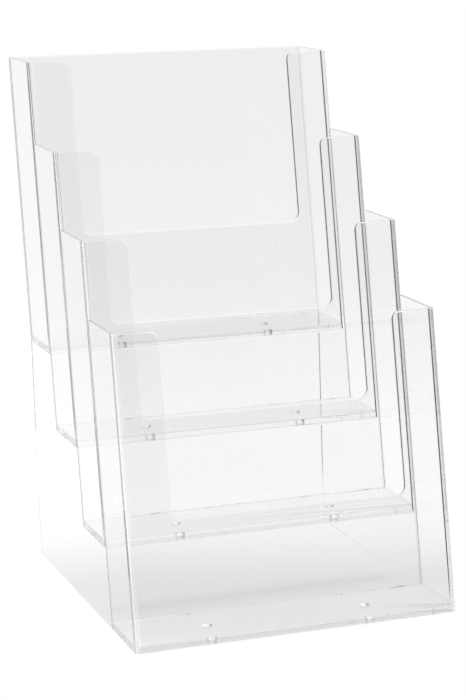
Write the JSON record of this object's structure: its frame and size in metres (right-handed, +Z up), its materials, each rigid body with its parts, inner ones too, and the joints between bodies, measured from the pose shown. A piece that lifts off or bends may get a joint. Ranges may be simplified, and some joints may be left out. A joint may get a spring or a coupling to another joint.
{
  "type": "brochure rack",
  "caption": "Clear countertop brochure rack with stepped, backward-leaning pockets with cut-away fronts on an open-backed stand.",
  "frame": {"origin": "on the ground, under the middle of the outer box", "axes": "+X to the right as seen from the front, -Y towards the reader (the pockets' open fronts), +Z up"},
  "size_m": [0.165, 0.2068, 0.2621],
  "materials": {
    "clear_shell": "clear polished styrene",
    "clear_panel": "clear polished styrene",
    "clear_floor": "clear polished styrene, seen through its thick edge"
  },
  "bodies": {
    "root": {"rear_panel": "clear_panel", "rear_pocket_shell": "clear_shell", "upper_pocket_shell": "clear_shell", "lower_pocket_shell": "clear_shell", "front_pocket_shell": "clear_shell", "rear_pocket_floor": "clear_floor", "upper_pocket_floor": "clear_floor", "lower_pocket_floor": "clear_floor", "front_pocket_floor": "clear_floor", "upper_riser": "clear_panel", "lower_riser": "clear_panel", "front_riser": "clear_panel", "left_stand_panel": "clear_panel", "right_stand_panel": "clear_panel"}
  },
  "joints": []
}
